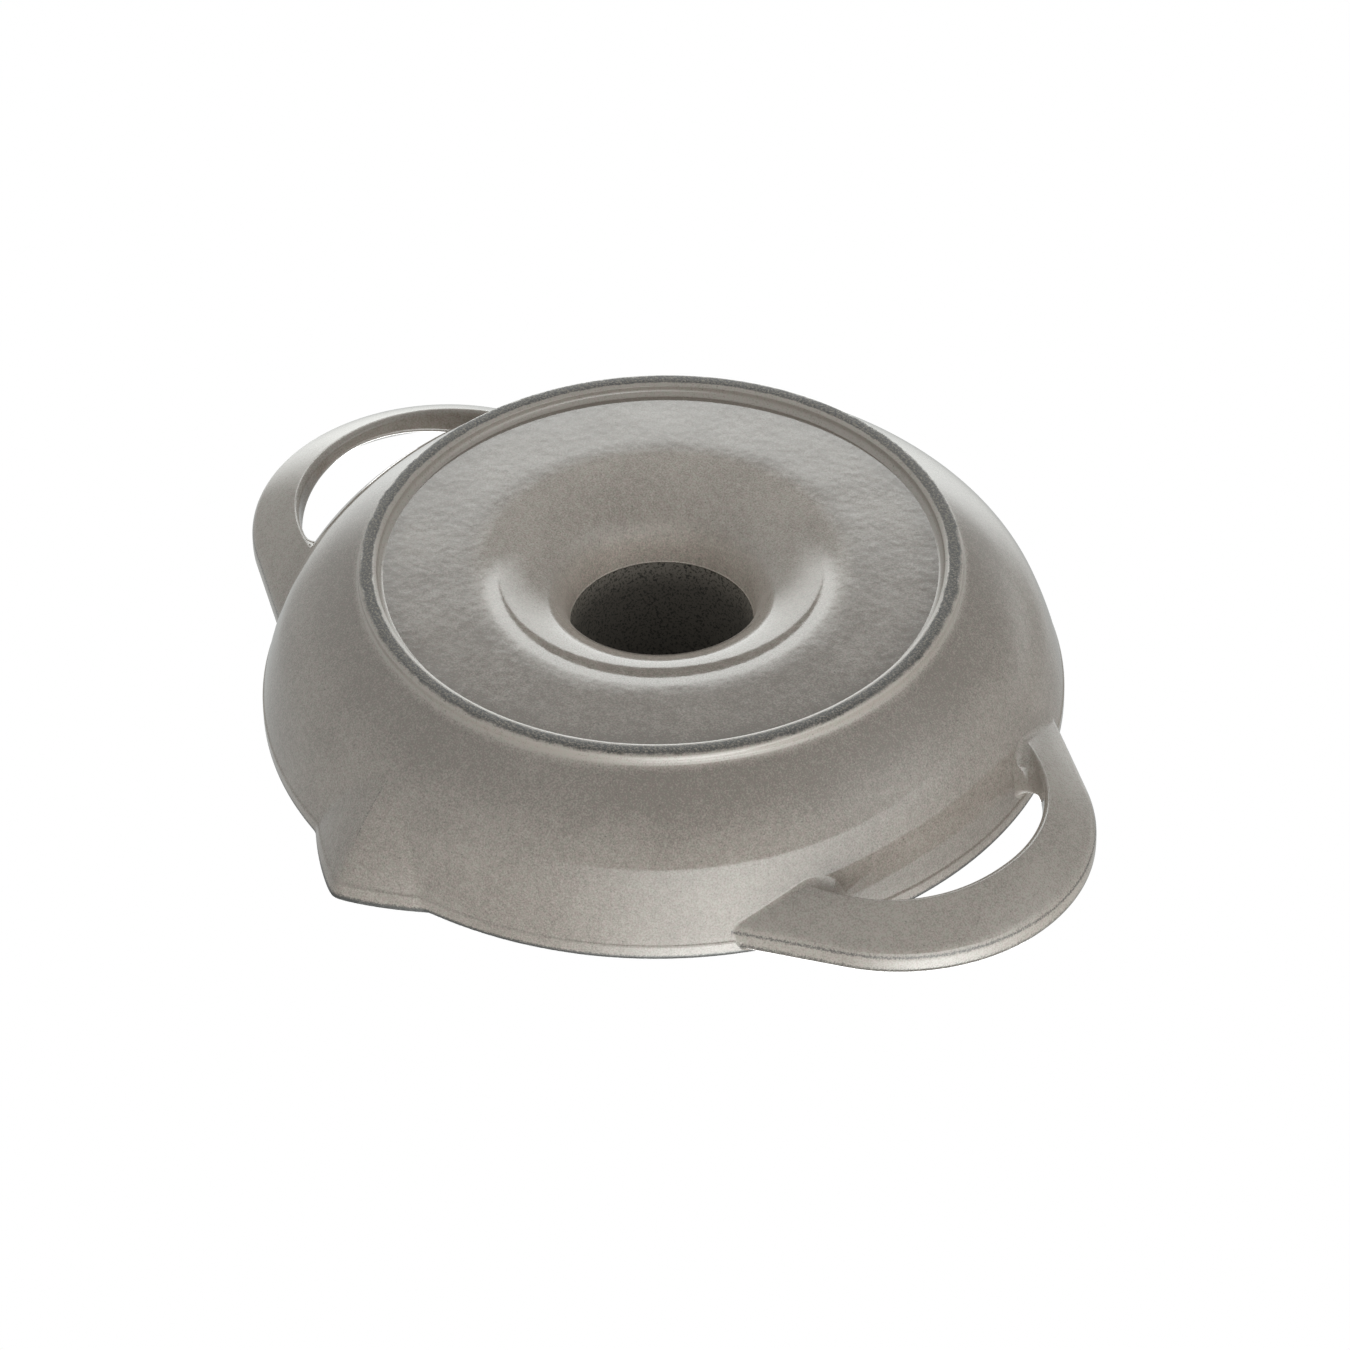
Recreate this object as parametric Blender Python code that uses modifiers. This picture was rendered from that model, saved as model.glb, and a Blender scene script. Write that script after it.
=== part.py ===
"""Enamelled cast-iron vertical roaster.

A round pan with a foot ring, a hollow centre cone, a pour spout and two loop handles. Metres, +Z up. The
origin is the middle of the outline in plan, at the height of the foot ring's flat crown. The handles lie
along X and the spout points along +Y. The real object is one casting, and each feature of it is a solid of
its own here.
"""

import math

import bpy
from mathutils import Vector

MM = 0.001

# Overall sizes
RIM_R = 124.5 * MM
RIM_Z = 53.6 * MM
HANDLE_OUT = 38.6 * MM
CONE_TOP_Z = 135.0 * MM
WALL = 4.5 * MM
CLEARANCE = 0.3 * MM

# Foot ring and base
FOOT_R = 92.0 * MM
FOOT_CROWN = 3.4 * MM
FOOT_EDGE_R = 1.2 * MM
FOOT_HEIGHT = 3.4 * MM
FOOT_FILLET = 1.8 * MM
FOOT_SPREAD = 1.4 * MM
BASE_LEDGE = 3.0 * MM

# Bowl wall, with the slope of its outer face at the shoulder, at mid height and under the lip
SHOULDER_RISE = 1.8 * MM
SHOULDER_SLOPE = math.radians(33)
MID_INSET = 5.5 * MM
MID_Z = 30.5 * MM
MID_SLOPE = math.radians(69)
LIP_HEIGHT = 6.2 * MM
LIP_SLOPE = math.radians(78.5)
LIP_PROUD = 0.5 * MM
RIM_EDGE_R = 1.7 * MM

# Centre cone, with its flare drawn out along the base and lifted and leant at the tube's foot
FLARE_R = 66.0 * MM
FLARE_ARM = 22.0 * MM
FLARE_LIFT = 3.4 * MM
FLARE_LEAN = 1.7 * MM
MOUTH_R = 27.6 * MM
MOUTH_RISE = 20.6 * MM
CONE_WALL = 4.6 * MM
CONE_TOP_R = 19.4 * MM
DOME_FLATNESS = 0.85

# Pour spout, with its flank in metres of reach for each degree round the rim and its tip round in degrees
SPOUT_REACH = 13.3 * MM
SPOUT_HALF_ANGLE = math.radians(14.5)
SPOUT_FLANK = 1.2 * MM
SPOUT_TIP_ROUND = 1.25
SPOUT_BASE_ROUND = 1.6 * MM
SPOUT_FOOT_Z = 21.0 * MM

# Handles, a band that slopes up from the gap to its outer edge and thickens towards its roots
HANDLE_NOSE_R = 60.0 * MM
HANDLE_NOSE_ANGLE = math.radians(61)
HANDLE_BAND = 16.4 * MM
HANDLE_GAP_R = 46.6 * MM
HANDLE_DROP = 2.5 * MM
HANDLE_TOP_FLAT = 4.6 * MM
HANDLE_OUTER_T = 7.8 * MM
HANDLE_INNER_T = 17.9 * MM
HANDLE_DIP = 13.4 * MM
HANDLE_ROOT_DIP = 1.0 * MM
HANDLE_DIP_POWER = 1.6
HANDLE_LEAN = 2.6 * MM
HANDLE_EDGE_R = 2.2 * MM

# Facets
TURN_STEPS = 64
CURVE_STEPS = 9
HANDLE_STEPS = 36
SPOUT_STEPS = 28

for old in list(bpy.data.objects):
    bpy.data.objects.remove(old)

PARTS = bpy.data.collections.new("cast_iron_roaster")
CUTTERS = bpy.data.collections.new("cutters")
bpy.context.scene.collection.children.link(PARTS)
bpy.context.scene.collection.children.link(CUTTERS)


def enamel(name, colour, roughness):
    material = bpy.data.materials.new(name)
    material.use_nodes = True
    shader = material.node_tree.nodes["Principled BSDF"]
    shader.inputs["Base Color"].default_value = (*colour, 1.0)
    shader.inputs["Roughness"].default_value = roughness
    shader.inputs["Metallic"].default_value = 0.0
    material.diffuse_color = (*colour, 1.0)
    return material


def bezier(start, first, second, end, steps):
    """Points of one cubic curve, with both ends."""
    points = []
    for i in range(steps + 1):
        t = i / steps
        u = 1 - t
        weights = (u * u * u, 3 * u * u * t, 3 * u * t * t, t * t * t)
        pairs = list(zip(weights, (start, first, second, end)))
        points.append((sum(w * p[0] for w, p in pairs), sum(w * p[1] for w, p in pairs)))
    return points


def arc(centre, radius, start, end, steps):
    """Points of a circular arc from one angle to another, with both ends."""
    angles = [start + (end - start) * i / steps for i in range(steps + 1)]
    return [(centre[0] + radius * math.cos(a), centre[1] + radius * math.sin(a)) for a in angles]


def rounded(corners, radius, steps):
    """A convex polygon, named clockwise, with each corner turned into an arc."""
    points = []
    for i, corner in enumerate(corners):
        here = Vector(corner)
        back = (Vector(corners[i - 1]) - here).normalized()
        on = (Vector(corners[(i + 1) % len(corners)]) - here).normalized()
        half = back.angle(on) / 2
        centre = here + (back + on).normalized() * radius / math.sin(half)
        start = math.atan2(-back.x, back.y)
        turn = math.pi - 2 * half
        points += arc(centre, radius, start, start - turn, steps)
    return points


def ahead(point, angle, distance):
    return (point[0] + distance * math.cos(angle), point[1] + distance * math.sin(angle))


def offset_left(line, distance):
    """A line moved to its left, which on a wall that is followed upwards is towards the axis."""
    moved = []
    for i, point in enumerate(line):
        before = Vector(line[max(i - 1, 0)])
        after = Vector(line[min(i + 1, len(line) - 1)])
        way = (after - before).normalized()
        moved.append((point[0] - way.y * distance, point[1] + way.x * distance))
    return moved


def cut_at(line, z):
    """The part of a rising line above a height, with a point on that height."""
    for i in range(1, len(line)):
        (r0, z0), (r1, z1) = line[i - 1], line[i]
        if z0 <= z < z1:
            share = (z - z0) / (z1 - z0)
            return [(r0 + (r1 - r0) * share, z)] + line[i:]
    return list(line)


def new_part(name, mesh, material, sharp=35):
    obj = bpy.data.objects.new(name, mesh)
    PARTS.objects.link(obj)
    mesh.materials.clear()
    mesh.materials.append(material)
    mesh.shade_smooth()
    mesh.set_sharp_from_angle(angle=math.radians(sharp))
    return obj


def evaluated_mesh(obj):
    graph = bpy.context.evaluated_depsgraph_get()
    return bpy.data.meshes.new_from_object(obj.evaluated_get(graph))


def turned_mesh(name, profile):
    """The mesh of a closed profile turned about Z. The profile runs down the outer side."""
    mesh = bpy.data.meshes.new(name)
    count = len(profile)
    on_axis = [abs(r) < 1e-9 for r, _ in profile]
    edges = [(i, (i + 1) % count) for i in range(count)]
    edges = [e for e in edges if not (on_axis[e[0]] and on_axis[e[1]])]
    mesh.from_pydata([(r, 0, z) for r, z in profile], edges, [])
    guide = bpy.data.objects.new(name + "_profile", mesh)
    CUTTERS.objects.link(guide)
    screw = guide.modifiers.new("turn", "SCREW")
    screw.axis = "Z"
    screw.angle = 2 * math.pi
    screw.steps = TURN_STEPS
    screw.render_steps = TURN_STEPS
    screw.use_merge_vertices = True
    screw.merge_threshold = 0.00001
    made = evaluated_mesh(guide)
    made.name = name
    bpy.data.objects.remove(guide)
    bpy.data.meshes.remove(mesh)
    return made


def lofted_mesh(name, sections):
    """A closed mesh through sections with the same number of points, capped at both ends."""
    count = len(sections[0])
    points = [point for section in sections for point in section]
    faces = []
    for s in range(len(sections) - 1):
        for i in range(count):
            j = (i + 1) % count
            faces.append((s * count + i, s * count + j, (s + 1) * count + j, (s + 1) * count + i))
    last = (len(sections) - 1) * count
    faces.append(tuple(range(count - 1, -1, -1)))
    faces.append(tuple(range(last, last + count)))
    mesh = bpy.data.meshes.new(name)
    mesh.from_pydata(points, [], faces)
    return mesh


def cutter(name, mesh):
    obj = bpy.data.objects.new(name, mesh)
    CUTTERS.objects.link(obj)
    obj.hide_render = True
    obj.display_type = "WIRE"
    return obj


def cut(obj, tool):
    boolean = obj.modifiers.new("cut_" + tool.name, "BOOLEAN")
    boolean.operation = "DIFFERENCE"
    boolean.object = tool


GREY = (0.235, 0.225, 0.210)
SHADE = (0.130, 0.125, 0.117)
CONE_GREY = (0.160, 0.154, 0.145)
FOOT_ENAMEL = enamel("foot_enamel", SHADE, 0.55)
BASE_ENAMEL = enamel("base_enamel", GREY, 0.28)
WALL_ENAMEL = enamel("wall_enamel", GREY, 0.25)
RIM_ENAMEL = enamel("rim_enamel", GREY, 0.30)
SPOUT_ENAMEL = enamel("spout_enamel", GREY, 0.25)
HANDLE_ENAMEL = enamel("handle_enamel", GREY, 0.28)
CONE_ENAMEL = enamel("cone_enamel", CONE_GREY, 0.35)

# Profiles that the pieces share

lip_z = RIM_Z - LIP_HEIGHT
wall_foot = (FOOT_R + BASE_LEDGE, FOOT_HEIGHT + SHOULDER_RISE)
wall_mid = (RIM_R - MID_INSET, MID_Z)
wall_top = (RIM_R - LIP_PROUD, lip_z)
shoulder_arm = 0.45 * (wall_mid[0] - wall_foot[0])
upper_arm = 0.36 * (lip_z - MID_Z)
outer_wall = bezier(
    wall_foot,
    ahead(wall_foot, SHOULDER_SLOPE, 1.2 * shoulder_arm),
    ahead(wall_mid, MID_SLOPE, -shoulder_arm),
    wall_mid,
    CURVE_STEPS,
)
outer_wall += bezier(
    wall_mid,
    ahead(wall_mid, MID_SLOPE, upper_arm),
    ahead(wall_top, LIP_SLOPE, -upper_arm),
    wall_top,
    CURVE_STEPS - 3,
)[1:]
inner_wall = offset_left(outer_wall, WALL)
floor_top = inner_wall[0][1]

rim_in_r = inner_wall[-1][0]
outer_lip = [
    (RIM_R - 0.4 * LIP_PROUD, lip_z + CLEARANCE),
    (RIM_R, lip_z + CLEARANCE + LIP_PROUD),
]
outer_lip += arc((RIM_R - RIM_EDGE_R, RIM_Z - RIM_EDGE_R), RIM_EDGE_R, 0, math.pi / 2, 4)
inner_lip = arc((rim_in_r + RIM_EDGE_R, RIM_Z - RIM_EDGE_R), RIM_EDGE_R, math.pi / 2, math.pi, 4)


def spout_push(angle, z):
    """How far the spout moves the wall outwards at an angle from its middle and at a height."""
    share = max(0.0, (z - SPOUT_FOOT_Z - CLEARANCE) / (RIM_Z - SPOUT_FOOT_Z - CLEARANCE))
    flank = SPOUT_FLANK * math.sqrt(share)
    peak = (SPOUT_REACH + SPOUT_FLANK * SPOUT_TIP_ROUND) * share
    soft = SPOUT_BASE_ROUND * share

    def height(a):
        level = peak - flank * math.hypot(math.degrees(a), SPOUT_TIP_ROUND)
        return 0.5 * (level + math.hypot(level, soft))

    return max(0.0, height(angle) - height(SPOUT_HALF_ANGLE))


# Foot ring: a flat crown with rounded edges, and a fillet towards the base on each side

crown_outer = FOOT_R - 0.3 * FOOT_EDGE_R
crown_inner = crown_outer - FOOT_CROWN
foot_top = FOOT_HEIGHT - CLEARANCE
out_side = crown_outer + FOOT_EDGE_R
in_side = crown_inner - FOOT_EDGE_R
spread_centre = (out_side + FOOT_SPREAD, foot_top - FOOT_SPREAD)
fillet_centre = (in_side - FOOT_FILLET, foot_top - FOOT_FILLET)
foot_ring = arc(spread_centre, FOOT_SPREAD, math.pi / 2, math.pi, 3)
foot_ring += arc((crown_outer, FOOT_EDGE_R), FOOT_EDGE_R, 0, -math.pi / 2, 3)
foot_ring += arc((crown_inner, FOOT_EDGE_R), FOOT_EDGE_R, -math.pi / 2, -math.pi, 3)
foot_ring += arc(fillet_centre, FOOT_FILLET, 0, math.pi / 2, 4)
new_part("foot_ring", turned_mesh("foot_ring", foot_ring), FOOT_ENAMEL)

# Base plate: the flat ring of floor between the wall and the cone's flare

seam = 1.3 * CLEARANCE
base_plate = [
    (inner_wall[0][0] - seam, floor_top),
    (wall_foot[0] - seam, wall_foot[1]),
    (wall_foot[0] - seam, FOOT_HEIGHT),
    (FLARE_R + CLEARANCE, FOOT_HEIGHT),
    (FLARE_R + CLEARANCE, floor_top),
]
new_part("base_plate", turned_mesh("base_plate", base_plate), BASE_ENAMEL)

# Centre cone: a flare that rises from the base, a tapered tube and a closed round top

flare_under = bezier(
    (FLARE_R, FOOT_HEIGHT),
    (FLARE_R - FLARE_ARM, FOOT_HEIGHT),
    (MOUTH_R + FLARE_LEAN, FOOT_HEIGHT + FLARE_LIFT),
    (MOUTH_R, FOOT_HEIGHT + MOUTH_RISE),
    CURVE_STEPS + 2,
)
flare_over = offset_left(flare_under, -CONE_WALL)
flare_over[0] = (FLARE_R, floor_top)
dome_z = CONE_TOP_Z - DOME_FLATNESS * CONE_TOP_R
bore_r = CONE_TOP_R - CONE_WALL
bore_flatness = (CONE_TOP_Z - CONE_WALL - dome_z) / bore_r


def dome(radius, flatness):
    """Points of a round top, from its side to its crown on the axis."""
    turns = [i * math.pi / 12 for i in range(6)]
    points = [(radius * math.cos(a), dome_z + flatness * radius * math.sin(a)) for a in turns]
    return points + [(0, dome_z + flatness * radius)]


cone = dome(CONE_TOP_R, DOME_FLATNESS)[::-1] + flare_over[::-1] + flare_under
cone += dome(bore_r, bore_flatness)
new_part("centre_cone", turned_mesh("centre_cone", cone), CONE_ENAMEL)

# Bowl wall and rim lip, both open where the spout is

notch_out = RIM_R + 2 * SPOUT_REACH
notch_in = wall_foot[0] - 2 * WALL
notch_plan = [
    (notch_in, -SPOUT_HALF_ANGLE),
    (notch_out, -SPOUT_HALF_ANGLE),
    (notch_out, SPOUT_HALF_ANGLE),
    (notch_in, SPOUT_HALF_ANGLE),
]
notch_levels = (SPOUT_FOOT_Z, RIM_Z + WALL)
notch = cutter(
    "spout_notch",
    lofted_mesh(
        "spout_notch",
        [[(-r * math.sin(a), r * math.cos(a), z) for r, a in notch_plan] for z in notch_levels],
    ),
)

wall = new_part("bowl_wall", turned_mesh("bowl_wall", outer_wall[::-1] + inner_wall), WALL_ENAMEL)
cut(wall, notch)

rim_foot_in = (rim_in_r, inner_wall[-1][1] + CLEARANCE)
rim_section = outer_lip[::-1] + [rim_foot_in] + inner_lip[::-1]
rim = new_part("rim_lip", turned_mesh("rim_lip", rim_section), RIM_ENAMEL)
cut(rim, notch)

# Pour spout: the wall's own section, pushed outwards into a rounded V

spout_low = SPOUT_FOOT_Z + CLEARANCE
spout_section = cut_at(outer_wall, spout_low) + outer_lip
spout_section += inner_lip + cut_at(inner_wall, spout_low)[::-1]
spout_edge = SPOUT_HALF_ANGLE - CLEARANCE / (RIM_R - WALL)
spout_sections = []
for i in range(SPOUT_STEPS + 1):
    turn = spout_edge * (1 - 2 * i / SPOUT_STEPS)
    section = []
    for r, z in spout_section:
        out = r + spout_push(turn, z)
        section.append((-out * math.sin(turn), out * math.cos(turn), z))
    spout_sections.append(section)
new_part("pour_spout", lofted_mesh("pour_spout", spout_sections), SPOUT_ENAMEL)

# Handles: a loop that is thickest at its roots, cut back to the wall

seat = [(r + CLEARANCE, z) for r, z in outer_wall + outer_lip]
seat = [(0, seat[0][1])] + seat + [(0, seat[-1][1])]
seat_tool = cutter("wall_seat", turned_mesh("wall_seat", seat[::-1]))

handle_top = RIM_Z - HANDLE_DROP
nose_x = RIM_R + HANDLE_OUT - HANDLE_NOSE_R
gap_x = RIM_R + HANDLE_OUT - HANDLE_BAND - HANDLE_GAP_R
nose_length = HANDLE_NOSE_R * HANDLE_NOSE_ANGLE

# Both edges of a handle run on until they are half way into the wall

root_r = wall_mid[0] - 0.5 * WALL
nose_end = Vector(arc((nose_x, 0), HANDLE_NOSE_R, HANDLE_NOSE_ANGLE, HANDLE_NOSE_ANGLE, 1)[0])
flank_way = Vector((-math.sin(HANDLE_NOSE_ANGLE), math.cos(HANDLE_NOSE_ANGLE)))
nearest = -nose_end.dot(flank_way)
pass_r = (nose_end + flank_way * nearest).length
flank_length = nearest - math.sqrt(max(0.0, root_r ** 2 - pass_r ** 2))
gap_cos = (root_r ** 2 - gap_x ** 2 - HANDLE_GAP_R ** 2) / (2 * gap_x * HANDLE_GAP_R)
gap_angle = math.acos(max(-1.0, min(1.0, gap_cos)))


def handle_edges(share):
    """The outer and inner edge of the loop in plan, with share from -1 at one root to 1 at the other."""
    side = math.copysign(1, share)
    run = abs(share) * (nose_length + flank_length)
    angle = min(run / HANDLE_NOSE_R, HANDLE_NOSE_ANGLE)
    rest = max(0.0, run - nose_length)
    outer = (
        nose_x + HANDLE_NOSE_R * math.cos(angle) - rest * math.sin(angle),
        side * (HANDLE_NOSE_R * math.sin(angle) + rest * math.cos(angle)),
    )
    angle = abs(share) * gap_angle
    inner = (gap_x + HANDLE_GAP_R * math.cos(angle), side * HANDLE_GAP_R * math.sin(angle))
    return Vector(outer), Vector(inner)


def handle_section(share):
    """A section of the loop, from its top inner corner over the outer side to its under face."""
    outer, inner = handle_edges(share)
    width = (outer - inner).length
    along = (outer - inner) / width
    nose = 1 - abs(share) ** HANDLE_DIP_POWER
    dip = HANDLE_ROOT_DIP + (HANDLE_DIP - HANDLE_ROOT_DIP) * nose
    corners = [
        (-HANDLE_LEAN * nose, handle_top - dip),
        (width - HANDLE_TOP_FLAT, handle_top),
        (width, handle_top),
        (width, handle_top - HANDLE_OUTER_T),
        (0, handle_top - HANDLE_INNER_T),
    ]
    section = []
    for across, z in rounded(corners, HANDLE_EDGE_R, 3):
        place = inner + along * across
        section.append((place.x, place.y, z))
    return section


def handle_mesh(name, side):
    sections = []
    for i in range(HANDLE_STEPS + 1):
        share = 2 * i / HANDLE_STEPS - 1
        sections.append([(side * x, side * y, z) for x, y, z in handle_section(share)])
    return lofted_mesh(name, sections)


for name, side in (("handle_right", 1), ("handle_left", -1)):
    handle = new_part(name, handle_mesh(name, side), HANDLE_ENAMEL)
    cut(handle, seat_tool)

# The origin is the middle of the outline in plan, which the spout draws away from the pan's axis

spout_tip = max(y for section in spout_sections for _, y, _ in section)
for obj in list(PARTS.objects) + list(CUTTERS.objects):
    obj.location.y = (RIM_R - spout_tip) / 2
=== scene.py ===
import math

import bmesh
import bpy
import numpy as np
from mathutils import Matrix, Vector


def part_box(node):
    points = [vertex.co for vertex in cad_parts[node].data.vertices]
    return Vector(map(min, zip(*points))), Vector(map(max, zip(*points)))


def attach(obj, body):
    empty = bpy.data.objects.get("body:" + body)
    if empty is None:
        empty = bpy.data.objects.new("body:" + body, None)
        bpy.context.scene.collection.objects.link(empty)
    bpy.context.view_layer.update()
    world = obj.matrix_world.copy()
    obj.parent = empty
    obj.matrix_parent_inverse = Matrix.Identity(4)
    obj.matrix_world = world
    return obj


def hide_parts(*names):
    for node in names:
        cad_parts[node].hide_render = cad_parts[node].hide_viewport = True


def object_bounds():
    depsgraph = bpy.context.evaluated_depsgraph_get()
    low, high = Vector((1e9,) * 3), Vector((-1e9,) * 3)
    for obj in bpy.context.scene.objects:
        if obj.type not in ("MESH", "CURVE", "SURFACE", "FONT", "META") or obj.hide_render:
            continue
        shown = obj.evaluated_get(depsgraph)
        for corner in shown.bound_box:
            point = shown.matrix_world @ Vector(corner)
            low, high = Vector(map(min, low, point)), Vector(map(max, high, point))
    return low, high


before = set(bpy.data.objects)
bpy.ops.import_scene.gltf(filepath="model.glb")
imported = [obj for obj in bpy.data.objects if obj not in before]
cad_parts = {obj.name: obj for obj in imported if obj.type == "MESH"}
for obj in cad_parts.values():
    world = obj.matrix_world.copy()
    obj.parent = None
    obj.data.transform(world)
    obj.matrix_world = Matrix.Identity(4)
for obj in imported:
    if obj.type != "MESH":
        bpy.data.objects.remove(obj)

# The visual model of an enamelled cast-iron roaster, in the CAD model's frame: metres, +Z up as the pan stands.
# The photograph shows the pan upside down, so its camera lies below the floor.
CAD_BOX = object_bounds()
MM = 0.001

# ---------------------------------------------------------------- sizes as in the CAD model
# In millimetres. The spout's half angle is in degrees, and its flank is for each degree.
RIM_R, RIM_Z, RIM_EDGE_R = 124.5, 53.6, 1.7
WALL = 4.5
FOOT_R, FOOT_CROWN, FOOT_EDGE_R, FOOT_EDGE_SET = 92.0, 3.4, 1.2, 0.3
FOOT_HEIGHT, FOOT_FILLET = 3.4, 1.8
WALL_FOOT = (95.0, 5.2)
WALL_MID = (119.0, 30.5)
LIP_Z, LIP_PROUD = 47.4, 0.5
WALL_TOP = (RIM_R - LIP_PROUD, LIP_Z)
SHOULDER_SLOPE, MID_SLOPE, LIP_SLOPE = math.radians(33), math.radians(69), math.radians(78.5)
SHOULDER_ARM, SHOULDER_PULL, UPPER_ARM = 0.45, 1.2, 0.36
FLARE_R, FLARE_ARM, FLARE_LIFT, FLARE_LEAN = 66.0, 22.0, 3.4, 1.7
MOUTH_R, MOUTH_RISE, CONE_WALL = 27.6, 20.6, 4.6
CONE_TOP_R, CONE_TOP_Z, DOME_FLATNESS = 19.4, 135.0, 0.85
SPOUT_REACH, SPOUT_HALF, SPOUT_FLANK, SPOUT_LOW = 13.3, 14.5, 1.2, 21.3
HANDLE_OUT, HANDLE_NOSE_R, HANDLE_NOSE_ANGLE = 38.6, 60.0, math.radians(61)
HANDLE_BAND, HANDLE_GAP_R = 16.4, 46.6
HANDLE_TOP, HANDLE_TOP_FLAT = 51.1, 4.6
HANDLE_OUTER_T, HANDLE_INNER_T = 7.8, 17.9
HANDLE_DIP, HANDLE_ROOT_DIP, HANDLE_DIP_POWER = 13.4, 1.0, 1.6
HANDLE_LEAN = 2.6

# ---------------------------------------------------------------- small forms that only the visual model has
# In millimetres. The foot's crown is arched by a hair and its inner edge is bevelled, to catch the light.
CROWN_TILT, BEVEL_TILT = math.radians(10), math.radians(18)
BEVEL, BEVEL_LEAD, BEVEL_ROUND, BEVEL_ARM = 0.62, 0.06, 0.4, 0.12
FOOT_OUT_FILLET = 2.2
# The spout's keel is sharper than the CAD model's. Its seams and the first two rounds are in degrees.
SPOUT_SEAM, SPOUT_TIP_ROUND, SPOUT_KEEL_ROUND, SPOUT_BASE_ROUND = 15.0, 0.9, 0.05, 0.3
# Rounds of the handle's section: inner top, start of the flat top, outer top, outer bottom, inner bottom
HANDLE_EDGES_R = (2.2, 2.2, 2.4, 5.0, 2.2)
OUTER_TOP, OUTER_BOTTOM = 2, 3
UNDER_CROWN = 0.35
# Fillets at a handle's root, by the side of the handle that they lie on
ROOT_UNDER_R, ROOT_TOP_R, ROOT_GAP_R, ROOT_OUT_R = 2.6, 0.7, 4.0, 3.0

# The pan's axis, from the cone's box
cone_low, cone_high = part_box("centre_cone")
AXIS = Vector(((cone_low[0] + cone_high[0]) / 2, (cone_low[1] + cone_high[1]) / 2, 0.0))


# ---------------------------------------------------------------- curves in a section, as (r, z)
def bezier(a, b, c, d, steps, near=None):
    """A cubic curve, with one more point close to its start if near is given."""
    t = np.linspace(0, 1, steps + 1)
    t = t[:, None] if near is None else np.insert(t, 1, near)[:, None]
    a, b, c, d = (np.array(p, float) for p in (a, b, c, d))
    return (1 - t) ** 3 * a + 3 * (1 - t) ** 2 * t * b + 3 * (1 - t) * t ** 2 * c + t ** 3 * d


def arc(centre, radius, start, end, steps):
    t = np.radians(np.linspace(start, end, steps + 1))
    return np.stack([centre[0] + radius * np.cos(t), centre[1] + radius * np.sin(t)], 1)


def straight(a, b, step, near=0.12):
    """A line with a point close to each end, so that its shading stays flat."""
    a, b = np.array(a, float), np.array(b, float)
    length = np.linalg.norm(b - a)
    inner = max(1, int(round(length / step)))
    shares = [0.0] + list(np.linspace(near / length, 1 - near / length, inner + 1)) + [1.0]
    return np.array([a + (b - a) * s for s in shares])


def ahead(point, angle, distance):
    return (point[0] + distance * math.cos(angle), point[1] + distance * math.sin(angle))


def offset_left(line, distance):
    way = np.gradient(line, axis=0)
    way /= np.linalg.norm(way, axis=1)[:, None]
    return line + distance * np.stack([-way[:, 1], way[:, 0]], 1)


def joined(*runs):
    """Runs of points end to end, without the doubled points."""
    out = [runs[0]]
    for run in runs[1:]:
        out.append(run[1:])
    return np.concatenate(out)


# ---------------------------------------------------------------- section of the pan
crown_out = FOOT_R - FOOT_EDGE_SET * FOOT_EDGE_R
crown_in = crown_out - FOOT_CROWN
out_side = crown_out + FOOT_EDGE_R
in_side = crown_in - FOOT_EDGE_R
fillet_start = (in_side - FOOT_FILLET, FOOT_HEIGHT)
fillet_z = FOOT_HEIGHT - FOOT_FILLET
out_turn = 90 + math.degrees(SHOULDER_SLOPE)
out_end_r = out_side + FOOT_OUT_FILLET * (1 + math.cos(math.radians(out_turn)))
out_end_z = WALL_FOOT[1] - (WALL_FOOT[0] - out_end_r) * math.tan(SHOULDER_SLOPE)
out_fillet_z = out_end_z - FOOT_OUT_FILLET * math.sin(math.radians(out_turn))

ARCH_POINTS = 15
arch_half = FOOT_CROWN / 2 + FOOT_EDGE_R * math.sin(CROWN_TILT)
arch_rise = 0.5 * arch_half * math.tan(CROWN_TILT)
edge_z = FOOT_EDGE_R * math.cos(CROWN_TILT) + arch_rise
arch_r = np.linspace(-arch_half, arch_half, ARCH_POINTS)
arch = np.stack([(crown_in + crown_out) / 2 + arch_r, arch_rise * (arch_r / arch_half) ** 2], 1)
bevel_way = math.pi - BEVEL_TILT
bevel_start = ahead(arch[0], math.pi - (CROWN_TILT + BEVEL_TILT) / 2, BEVEL_LEAD)
bevel_end = ahead(bevel_start, bevel_way, BEVEL)
bevel_round_z = bevel_end[1] + BEVEL_ROUND

under_rows = straight((FLARE_R, FOOT_HEIGHT), fillet_start, step=1.6)
foot_rows = joined(
    arc((fillet_start[0], fillet_z), FOOT_FILLET, 90, 0, steps=10),
    straight((in_side, fillet_z), (in_side, bevel_round_z), step=0.5, near=0.05),
    bezier(
        (in_side, bevel_round_z),
        (in_side, bevel_end[1] + BEVEL_ARM),
        ahead(bevel_end, bevel_way, BEVEL_ARM),
        bevel_end,
        steps=8,
    ),
    straight(bevel_end, bevel_start, step=0.2, near=0.04),
    np.array([bevel_start, arch[0]]),
    arch,
    arc((crown_out, edge_z), FOOT_EDGE_R, math.degrees(CROWN_TILT) - 90, 0, steps=8),
    straight((out_side, edge_z), (out_side, out_fillet_z), step=0.5, near=0.05),
    arc((out_side + FOOT_OUT_FILLET, out_fillet_z), FOOT_OUT_FILLET, 180, out_turn, steps=8),
    straight((out_end_r, out_end_z), WALL_FOOT, step=0.4),
)

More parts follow.
